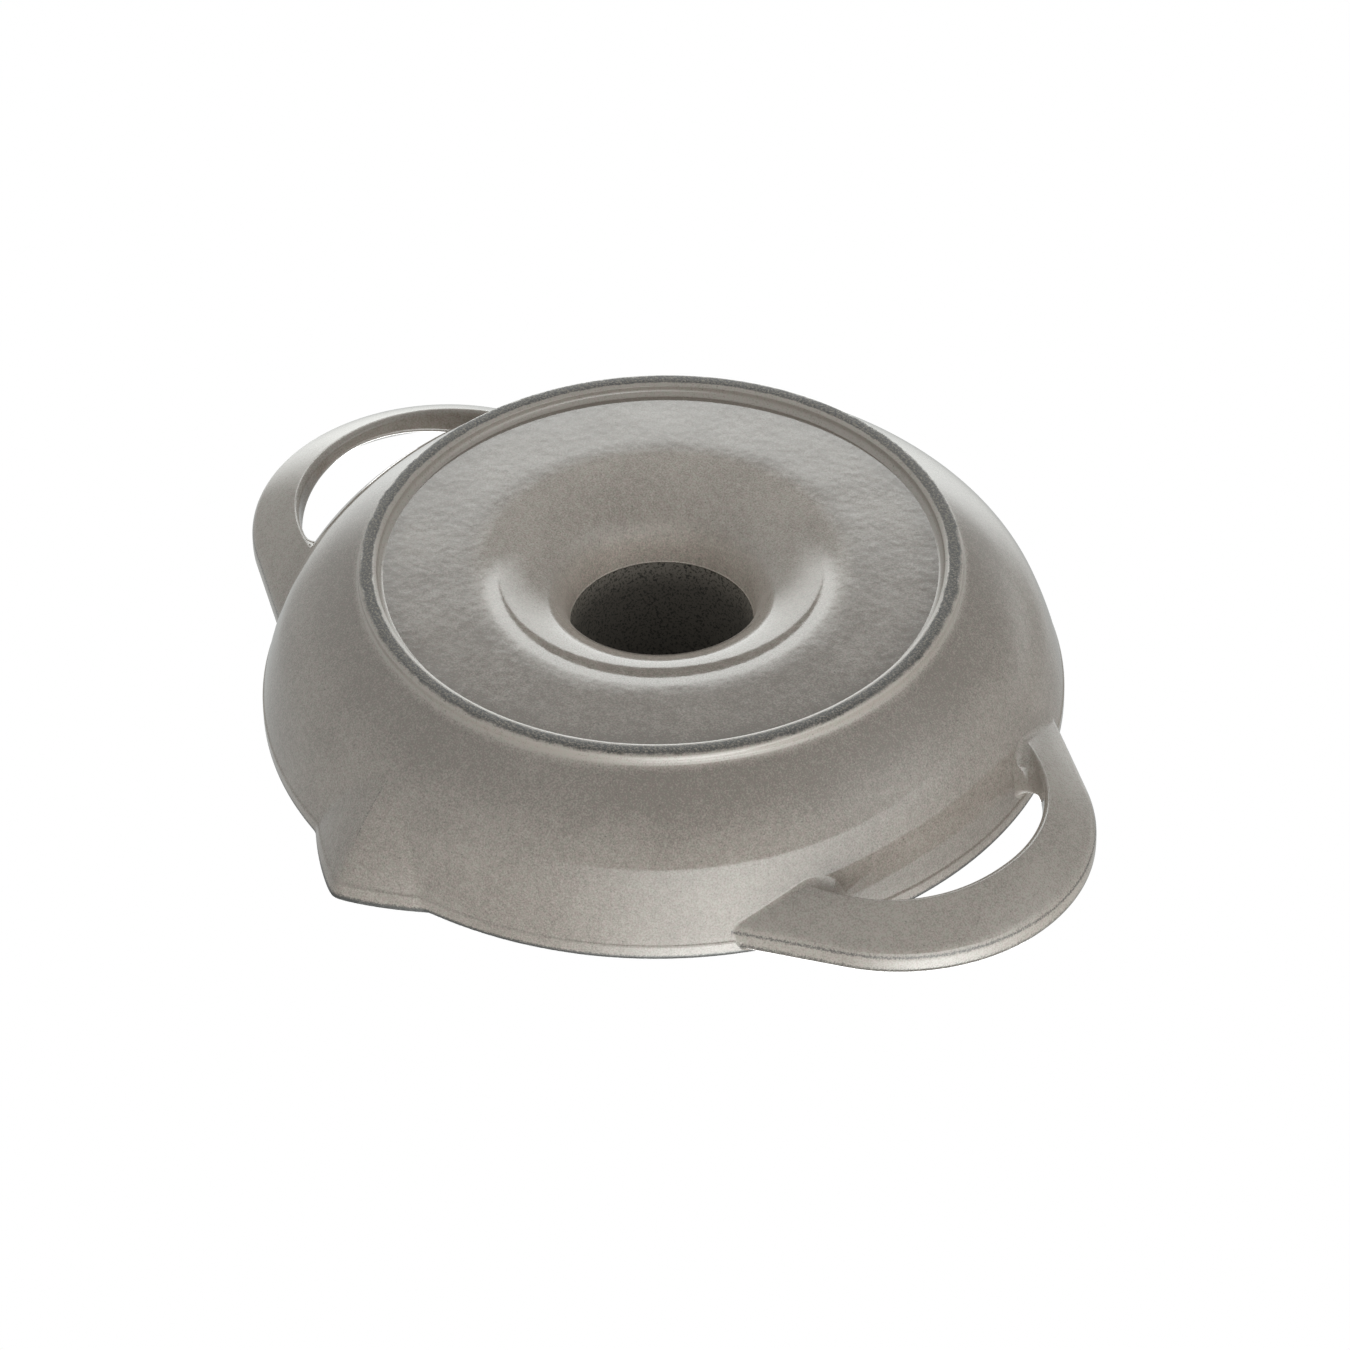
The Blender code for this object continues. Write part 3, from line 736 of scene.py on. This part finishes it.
# The dome runs on from the tapered tube without a break
dome_z = CONE_TOP_Z - DOME_FLATNESS * CONE_TOP_R
taper = (flare_over[0][0] - CONE_TOP_R) / (dome_z - flare_over[0][1])
dome_start = math.atan(DOME_FLATNESS * taper)
dome_r = (CONE_TOP_R - (CONE_TOP_Z - dome_z) * taper) / (
    math.cos(dome_start) - taper * DOME_FLATNESS * (1 - math.sin(dome_start))
)
outer_dome = dome(dome_r, CONE_TOP_Z, DOME_FLATNESS, dome_start)
tube = straight(outer_dome[0], flare_over[0], step=5.0)
bore_r, bore_z = CONE_TOP_R - CONE_WALL, CONE_TOP_Z - CONE_WALL
bore = straight(flare_under[-1], (bore_r, dome_z), step=5.0)
cone_rows = joined(flare_under, bore, dome(bore_r, bore_z, (bore_z - dome_z) / bore_r))
bore_end = len(cone_rows) - 1
cone_rows = np.concatenate([cone_rows, joined(outer_dome[::-1], tube, flare_over)])

WELL_INSIDE = 30.0
points, faces, row_start = [], [], []
cone_marks = {"coat": [], "hollow": []}
for index, (r, z) in enumerate(cone_rows):
    row_start.append(len(points))
    under_side = index <= bore_end
    for c in range(1 if r == 0.0 else TURNS):
        points.append(place(r, z, c, False))
        cone_marks["coat"].append(-WELL_INSIDE if under_side else WELL_INSIDE)
        cone_marks["hollow"].append(z - MOUTH_EDGE_Z if under_side else -WELL_INSIDE)
for index in range(len(cone_rows)):
    if index == bore_end:
        continue
    after = (index + 1) % len(cone_rows)
    a, b = row_start[index], row_start[after]
    for c in range(TURNS):
        n = (c + 1) % TURNS
        if cone_rows[index][0] == 0.0:
            faces.append((a, b + c, b + n))
        elif cone_rows[after][0] == 0.0:
            faces.append((a + c, b, a + n))
        else:
            faces.append((a + c, b + c, b + n, a + n))
finish_piece("centre_cone_cast", points, faces, cone_marks, CONE_ENAMEL_LIT_AND_SHADED, "centre_cone")

# ---------------------------------------------------------------- handles
nose_x = RIM_R + HANDLE_OUT - HANDLE_NOSE_R
gap_x = RIM_R + HANDLE_OUT - HANDLE_BAND - HANDLE_GAP_R
nose_length = HANDLE_NOSE_R * HANDLE_NOSE_ANGLE
root_r = WALL_MID[0] - 0.5 * WALL
nose_way = Vector((math.cos(HANDLE_NOSE_ANGLE), math.sin(HANDLE_NOSE_ANGLE)))
nose_end = Vector((nose_x, 0.0)) + HANDLE_NOSE_R * nose_way
flank_way = Vector((-nose_way.y, nose_way.x))
nearest = -nose_end.dot(flank_way)
pass_r = (nose_end + flank_way * nearest).length
flank_length = nearest - math.sqrt(max(0.0, root_r ** 2 - pass_r ** 2))
gap_angle = math.acos((root_r ** 2 - gap_x ** 2 - HANDLE_GAP_R ** 2) / (2 * gap_x * HANDLE_GAP_R))


def handle_edges(share):
    side = math.copysign(1, share)
    run = abs(share) * (nose_length + flank_length)
    angle = min(run / HANDLE_NOSE_R, HANDLE_NOSE_ANGLE)
    rest = max(0.0, run - nose_length)
    outer = Vector((
        nose_x + HANDLE_NOSE_R * math.cos(angle) - rest * math.sin(angle),
        side * (HANDLE_NOSE_R * math.sin(angle) + rest * math.cos(angle)),
    ))
    angle = abs(share) * gap_angle
    inner = Vector((gap_x + HANDLE_GAP_R * math.cos(angle), side * HANDLE_GAP_R * math.sin(angle)))
    return outer, inner


CORNER_STEPS, SIDE_POINTS = 9, 7
# Where the glaze is thin on the two edges of the outer side, and how the upper line's distance counts
UNDER_EDGE_STEP, TOP_EDGE_STEP, TOP_EDGE_SHARE = 3, 7, 0.42


def section_outline(corners):
    """A handle's rounded section, and each point's distance from the edges of its outer side."""
    outline, turns = [], []
    for i, corner in enumerate(corners):
        here = Vector(corner)
        back = (Vector(corners[i - 1]) - here).normalized()
        on = (Vector(corners[(i + 1) % len(corners)]) - here).normalized()
        half = back.angle(on) / 2
        radius = HANDLE_EDGES_R[i]
        centre = here + (back + on).normalized() * radius / math.sin(half)
        start = math.degrees(math.atan2(-back.x, back.y))
        turns.append(arc(centre, radius, start, start - (180 - 2 * math.degrees(half)), CORNER_STEPS))
    shares = np.linspace(0, 1, SIDE_POINTS + 2)[1:-1]
    for i, turn in enumerate(turns):
        a, b = turn[-1], turns[(i + 1) % len(turns)][0]
        side = a + (b - a) * shares[:, None]
        if i == OUTER_BOTTOM:
            way = (b - a) / np.linalg.norm(b - a)
            away = np.array([way[1], -way[0]])
            side = side - away * (UNDER_CROWN * 4 * shares * (1 - shares))[:, None]
        outline += [turn, side]
    outline = np.concatenate(outline)
    under_edge = np.linalg.norm(outline - turns[OUTER_BOTTOM][UNDER_EDGE_STEP], axis=1)
    top_edge = TOP_EDGE_SHARE * np.linalg.norm(outline - turns[OUTER_TOP][TOP_EDGE_STEP], axis=1)
    return outline, np.minimum(under_edge, top_edge)


def handle_section(share):
    outer, inner = handle_edges(share)
    width = (outer - inner).length
    along = (outer - inner) / width
    nose = 1 - abs(share) ** HANDLE_DIP_POWER
    dip = HANDLE_ROOT_DIP + (HANDLE_DIP - HANDLE_ROOT_DIP) * nose
    outline, edge = section_outline([
        (-HANDLE_LEAN * nose, HANDLE_TOP - dip),
        (width - HANDLE_TOP_FLAT, HANDLE_TOP),
        (width, HANDLE_TOP),
        (width, HANDLE_TOP - HANDLE_OUTER_T),
        (0, HANDLE_TOP - HANDLE_INNER_T),
    ])
    reach, z = outline.T
    return np.stack([inner.x + along.x * reach, inner.y + along.y * reach, z], 1), edge


# The outside of the wall and of the lip, to a few rows past the start of the coat
ROWS_PAST, SLOPE_REACH = 3, 0.2
outer_line = joined(wall_rows, lip_rows[: rim_edge_row - lip[0] + ROWS_PAST])


def wall_radius(z):
    return np.interp(z, outer_line[:, 1], outer_line[:, 0])


def wall_at(points):
    """How far points lie outside the wall, measured square to it, and the wall's normal there."""
    flat = np.hypot(points[:, 0], points[:, 1])
    z = np.clip(points[:, 2], outer_line[0, 1], outer_line[-1, 1])
    slope = (wall_radius(z + SLOPE_REACH) - wall_radius(z - SLOPE_REACH)) / (2 * SLOPE_REACH)
    lean = 1 / np.hypot(1, slope)
    normal = np.stack([points[:, 0] / flat * lean, points[:, 1] / flat * lean, -slope * lean], 1)
    return (flat - wall_radius(z)) * lean, normal


HALF_SHARES, HALF_RINGS, ROOT_STEPS = 120, 121, 12
ROOT_SUNK, ROOT_ANCHOR = 0.04, 1.2
TINY_SPAN, TINY_SINE = 1e-9, 1e-6
sections = [handle_section(s) for s in np.linspace(-1, 1, 2 * HALF_SHARES + 1)]
grid = np.array([points for points, _ in sections])
thin_ring = sections[HALF_SHARES][1]
across = np.roll(grid, -1, axis=1) - np.roll(grid, 1, axis=1)
normals = np.cross(np.gradient(grid, axis=0), across)
normals /= np.linalg.norm(normals, axis=2)[:, :, None]
if (normals * (grid - grid.mean(axis=1, keepdims=True))).sum() < 0:
    normals = -normals
count = grid.shape[1]


def root_radius(points, way):
    """The fillet's radius for each point of a ring, by the way that the point faces."""
    outward = points[:, :2] - (gap_x, 0)
    outward /= np.linalg.norm(outward, axis=1)[:, None]
    aside = (way[:, :2] * outward).sum(axis=1)
    return (
        ROOT_UNDER_R
        + (ROOT_TOP_R - ROOT_UNDER_R) * np.clip(way[:, 2], 0, 1)
        + (ROOT_GAP_R - ROOT_UNDER_R) * np.clip(-aside, 0, 1)
        + (ROOT_OUT_R - ROOT_UNDER_R) * np.clip(aside, 0, 1)
    )


def between(values, at):
    """Values along a path, at one place between its steps for each point of a ring."""
    low = np.minimum(at.astype(int), len(values) - 2)
    share = (at - low)[:, None]
    cols = np.arange(count)
    return values[low, cols] * (1 - share) + values[low + 1, cols] * share


def root_rings(path, way):
    """Rings from the middle of a handle to one root, ending in a fillet on the wall."""
    radius = np.array([root_radius(points, facing) for points, facing in zip(path, way)])
    reach = np.zeros_like(radius)
    for k, points in enumerate(path):
        gap, wall_normal = wall_at(points)
        reach[k] = gap - radius[k] * (1 - (way[k] * wall_normal).sum(axis=1))
    ends = np.zeros(count)
    for i in range(count):
        below = np.nonzero(reach[:, i] < 0)[0]
        k = max(int(below[0]) if len(below) else len(path) - 1, 1)
        span = reach[k - 1, i] - reach[k, i]
        ends[i] = k - 1 + np.clip(reach[k - 1, i] / span if span > TINY_SPAN else 1.0, 0, 1)
    rings = [between(path, ends * s) for s in np.linspace(0, 1, HALF_RINGS)]

    # The fillet swings from the handle's normal to the wall's
    foot_way = between(way, ends)
    foot_way /= np.linalg.norm(foot_way, axis=1)[:, None]
    size = between(radius[:, :, None], ends)
    _, wall_normal = wall_at(rings[-1])
    centre = rings[-1] + foot_way * size
    swing = np.arccos(np.clip((foot_way * wall_normal).sum(axis=1), -1, 1))[:, None]
    safe = np.maximum(np.sin(swing), TINY_SINE)
    for f in np.arange(1, ROOT_STEPS + 1) / ROOT_STEPS:
        blend = foot_way * (np.sin((1 - f) * swing) / safe) + wall_normal * (np.sin(f * swing) / safe)
        rings.append(centre - blend * size)
    gap, wall_normal = wall_at(rings[-1])
    rings[-1] = rings[-1] - wall_normal * (gap + ROOT_SUNK)[:, None]
    rings.append(rings[-1] - wall_normal * ROOT_ANCHOR)
    return rings


far_rings = root_rings(grid[HALF_SHARES:], normals[HALF_SHARES:])
near_rings = root_rings(grid[HALF_SHARES::-1], normals[HALF_SHARES::-1])
rings = near_rings[::-1] + far_rings[1:]
faces = []
for start in range(0, (len(rings) - 1) * count, count):
    for i in range(count):
        j = (i + 1) % count
        faces.append((start + i, start + j, start + count + j, start + count + i))
last = (len(rings) - 1) * count
faces.append(tuple(range(count)))
faces.append(tuple(range(last, last + count)))
handle_marks = {"thin": np.tile(thin_ring, len(rings))}
for name, node, hand in (("handle_right_cast", "handle_right", 1), ("handle_left_cast", "handle_left", -1)):
    points = [(hand * p[0], hand * p[1], p[2]) for ring in rings for p in ring]
    finish_piece(name, points, faces, handle_marks, HANDLE_ENAMEL_LIT, node, sharp=60)

# ---------------------------------------------------------------- camera, at the photograph's viewing angle
CAMERA_AT = Vector((1.23708, 1.13342, -1.36222))
CAMERA_RIGHT = Vector((0.689037, -0.724542, 0.016301))
CAMERA_UP = Vector((-0.456780, -0.451639, -0.766404))
camera_data = bpy.data.cameras.new("camera")
camera_data.lens = 188.38
camera_data.sensor_width = 36.0
camera_data.clip_end = 50.0
camera = bpy.data.objects.new("camera", camera_data)
bpy.context.scene.collection.objects.link(camera)
camera_turn = Matrix((CAMERA_RIGHT, CAMERA_UP, CAMERA_RIGHT.cross(CAMERA_UP))).transposed()
camera.matrix_world = Matrix.Translation(CAMERA_AT) @ camera_turn.to_4x4()
bpy.context.scene.camera = camera

# ---------------------------------------------------------------- floor
# In metres. It is clear from below, because the photograph looks up from there, and stays out of reflections.
FLOOR_HALF, FLOOR_GAP = 3.0, 0.0004
PAPER, PAPER_DARK, PAPER_LIGHT = (140.0, 3.0, 0.6), (0.735, 0.72, 0.71), (0.775, 0.76, 0.75)
floor_mesh = bpy.data.meshes.new("studio_floor")
floor_corners = [(FLOOR_HALF * x, FLOOR_HALF * y, 0) for x, y in ((-1, -1), (1, -1), (1, 1), (-1, 1))]
floor_mesh.from_pydata(floor_corners, [], [(0, 1, 2, 3)])
floor_piece = bpy.data.objects.new("studio_floor", floor_mesh)
floor_piece.location = (0, 0, -FLOOR_GAP)
bpy.context.scene.collection.objects.link(floor_piece)
floor_piece.visible_shadow = False
floor_piece.visible_diffuse = False
floor_piece.visible_glossy = False
floor_material = bpy.data.materials.new("floor_paper")
floor_material.use_nodes = True
t = Tree(floor_material.node_tree)
paper = t.mix(t.noise(t.add("TexCoord").outputs["Object"], *PAPER), PAPER_DARK, PAPER_LIGHT)
matt = t.add("BsdfDiffuse", None, {"Color": paper})
clear = t.add("BsdfTransparent")
from_below = t.add("NewGeometry").outputs["Backfacing"]
t.add("OutputMaterial", None, {"Surface": t.add("MixShader", None, {0: from_below, 1: matt, 2: clear})})
floor_mesh.materials.append(floor_material)

# ---------------------------------------------------------------- studio light
# Directions as the photograph has them: its up is the object's -Z. Angles are in degrees: rise is the height
# above the level, and turn runs from straight behind the object to the right.
BACK = Vector((-0.734, -0.679, 0.0))
RIGHT = Vector((0.679, -0.734, 0.0))
UP = Vector((0.0, 0.0, -1.0))
LIGHT_COLOUR = (0.97, 1.0, 0.988, 1.0)
AMBIENT, AMBIENT_LEAST, AMBIENT_LEAN = 0.45, 0.05, -0.16 * RIGHT + 0.147 * BACK + 0.08 * UP
FRONT_BOX, FRONT_TURN, FRONT_RIGHT, FRONT_LEFT = 2.38, 164.0, 46.7, 31.0
FRONT_TOP, FRONT_TOP_SOFT, FRONT_BOTTOM = 22.0, 1.0, (-60.0, -45.0)
FRONT_BOOST, FRONT_BOOST_RISE = 1.95, (-14.0, -38.0)
BACK_LOW, BACK_LOW_RISE, BACK_HIGH = 2.25, (-38.0, 6.0), 3.05
BACK_TURN, BACK_HALF, BACK_SOFT = 3.0, 25.0, 11.0
BACK_TOP, BACK_TOP_SOFT, BACK_TOP_SPREAD = 38.6, 1.3, 0.008
BACK_NARROW, NARROW_TURN, NARROW_RISE = 7.0, (8.0, 16.0), (-8.0, 4.0)
SLOT_LOW, SLOT_HIGH, SLOT_HALF, SLOT_ENDS = 15.0, 29.0, 11.0, (24.0, 18.0)
SLOT_LOW_RISE, SLOT_HIGH_RISE, SLOT_LOW_SOFT, SLOT_HIGH_SOFT = 18.0, 6.0, 0.6, 0.8
SLOT_DARK, SLOT_LINE, SLOT_LINES = 0.92, 0.15, 3
# Soft lights as strength, turn and its spread, rise and its spread
SIDE_BOX, LOW_GLOW = (0.8, 112.0, 32.0, 32.0, 20.0), (0.42, 45.0, 22.0, 1.0, 8.0)

world = bpy.data.worlds.new("studio")
bpy.context.scene.world = world
world.use_nodes = True
t = Tree(world.node_tree)
direction = t.add("TexCoord").outputs["Generated"]
rise = t.math("DEGREES", t.math("ARCSINE", t.dot(direction, UP)))
turn = t.math("DEGREES", t.math("ARCTAN2", t.dot(direction, RIGHT), t.dot(direction, BACK)))
ambient = t.math("MAXIMUM", AMBIENT_LEAST, t.sum(AMBIENT, t.dot(direction, AMBIENT_LEAN)))


def bell(*offsets):
    """One at the middle of a soft light, falling off with the offsets from it."""
    fall = t.sum(*[t.product(offset, offset) for offset in offsets])
    return t.math("EXPONENT", t.product(fall, -1.0))


def glow(strength, turn_at, wide, rise_at, tall):
    beside = t.math("DIVIDE", t.minus(turn, turn_at), wide)
    aloft = t.math("DIVIDE", t.minus(rise, rise_at), tall)
    return t.product(bell(beside, aloft), strength)


# A broad box behind the camera, with a crisp top edge and more light low down
aside = t.math("WRAP", t.minus(turn, FRONT_TURN), 180.0, -180.0)
front_width = t.linear(t.math("LESS_THAN", aside, 0.0), 0.0, 1.0, FRONT_LEFT, FRONT_RIGHT)
front = t.product(
    bell(t.math("DIVIDE", aside, front_width)),
    t.step(rise, *FRONT_BOOST_RISE, 1.0, FRONT_BOOST),
    t.step(rise, FRONT_TOP + FRONT_TOP_SOFT, FRONT_TOP - FRONT_TOP_SOFT),
    t.step(rise, *FRONT_BOTTOM),
    FRONT_BOX,
)

# Two strips behind the object, with a dark gap between them that narrows to its ends
off = t.math("ABSOLUTE", t.minus(turn, BACK_TURN))
narrowed = t.product(t.step(turn, *NARROW_TURN), t.step(rise, *NARROW_RISE), BACK_NARROW)
window = t.step(t.sum(off, narrowed), BACK_HALF + BACK_SOFT, BACK_HALF - BACK_SOFT)
top_soft = t.math("MULTIPLY_ADD", t.product(off, off), BACK_TOP_SPREAD, BACK_TOP_SOFT)
under_top = t.step(t.math("DIVIDE", t.minus(rise, BACK_TOP), top_soft), 1.0, -1.0)
bow = t.math("DIVIDE", turn, SLOT_HALF)
bow = t.product(bow, bow)
low_edge = t.math("MULTIPLY_ADD", bow, SLOT_LOW_RISE, SLOT_LOW)
high_edge = t.math("MULTIPLY_ADD", bow, SLOT_HIGH_RISE, SLOT_HIGH)
below = t.step(t.minus(rise, low_edge), SLOT_LOW_SOFT, -SLOT_LOW_SOFT)
above = t.step(t.minus(rise, high_edge), -SLOT_HIGH_SOFT, SLOT_HIGH_SOFT)
low_strip = t.product(below, t.step(rise, *BACK_LOW_RISE), BACK_LOW)
back = t.product(window, under_top, t.math("MAXIMUM", low_strip, t.product(above, BACK_HIGH)))

# Faint lines in the dark gap
slot = t.product(t.minus(1.0, below), t.minus(1.0, above), t.step(off, *SLOT_ENDS))
across_slot = t.math("DIVIDE", t.minus(rise, low_edge), t.minus(high_edge, low_edge))
wave = t.math("COSINE", t.product(across_slot, 2 * math.pi * SLOT_LINES))
lines = t.math("MULTIPLY_ADD", wave, -0.5, 0.5)
ambient = t.product(ambient, t.math("MULTIPLY_ADD", slot, -SLOT_DARK, 1.0))
ambient = t.sum(ambient, t.product(slot, lines, SLOT_LINE))

# The camera sees plain white behind the object
level = t.sum(ambient, front, back, glow(*SIDE_BOX), glow(*LOW_GLOW))
seen = t.add("LightPath").outputs["Is Camera Ray"]
lit = t.add("Background", None, {"Color": LIGHT_COLOUR, "Strength": level})
plain = t.add("Background", None, {"Color": (1.0, 1.0, 1.0, 1.0), "Strength": 1.0})
t.add("OutputWorld", None, {"Surface": t.add("MixShader", None, {0: seen, 1: lit, 2: plain})})

# A soft lamp above, for views of the pan as it stands
lamp_data = bpy.data.lights.new("softbox", "AREA")
lamp_data.shape = "DISK"
lamp_data.size = 1.0
lamp_data.energy = 12.0
lamp = bpy.data.objects.new("softbox", lamp_data)
lamp.location = (-0.7, -0.5, 1.5)
lamp.rotation_euler = (-lamp.location).to_track_quat("-Z", "Y").to_euler()
bpy.context.scene.collection.objects.link(lamp)

bpy.context.scene.view_settings.view_transform = "Standard"
